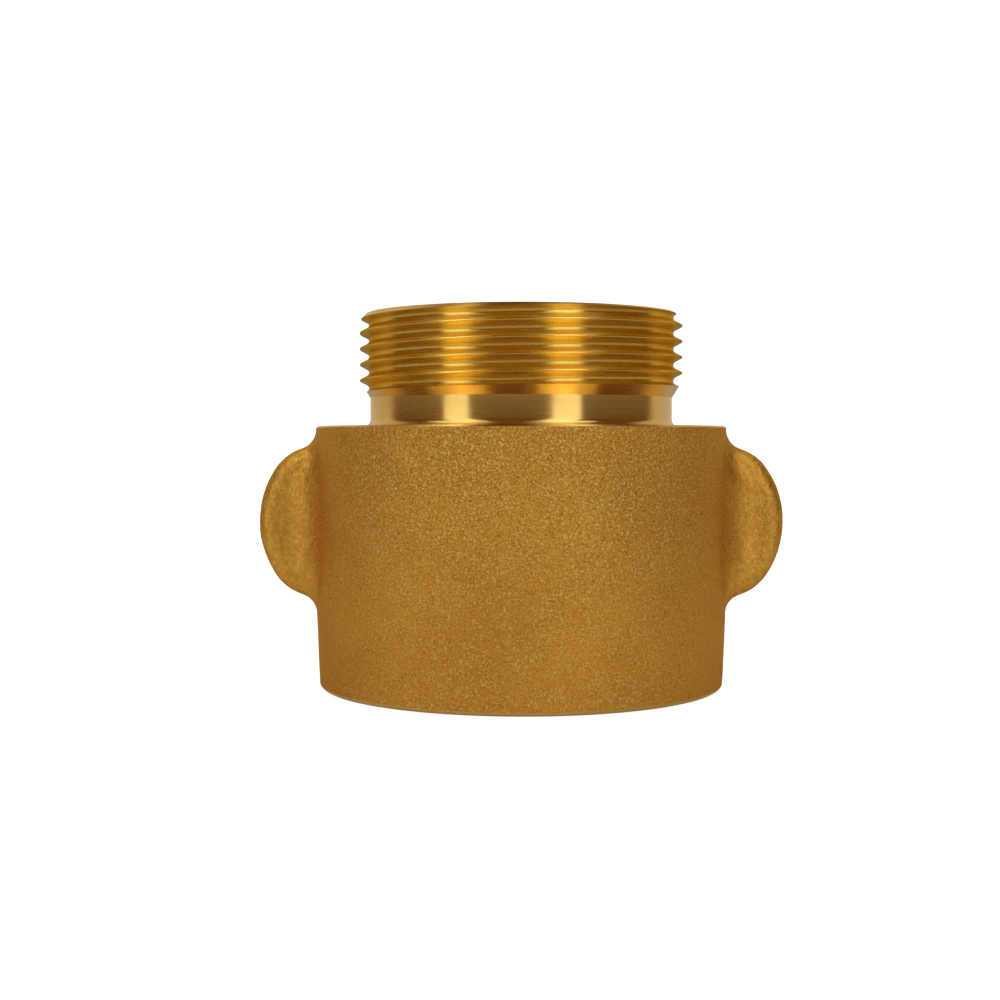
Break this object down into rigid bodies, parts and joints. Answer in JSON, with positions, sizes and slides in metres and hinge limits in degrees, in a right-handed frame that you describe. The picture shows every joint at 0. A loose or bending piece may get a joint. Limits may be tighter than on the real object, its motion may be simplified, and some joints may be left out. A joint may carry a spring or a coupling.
{
  "type": "fire hose adapter",
  "caption": "Brass fire hose adapter: female hose thread below, male thread above, cast body with two ear-shaped rocker lugs, rubber seat gasket inside.",
  "frame": {"origin": "centre of the flat bottom face, on the waterway axis, where the adapter stands", "axes": "+Z along the waterway from the female end to the male end, lugs to -X and +X"},
  "size_m": [0.077, 0.0606, 0.0549],
  "materials": {
    "brass": "bead-blasted casting, turned threads and neck",
    "gasket_rubber": "matte moulded rubber"
  },
  "bodies": {
    "root": {"adapter_body": "brass", "seat_gasket": "gasket_rubber"}
  },
  "joints": []
}
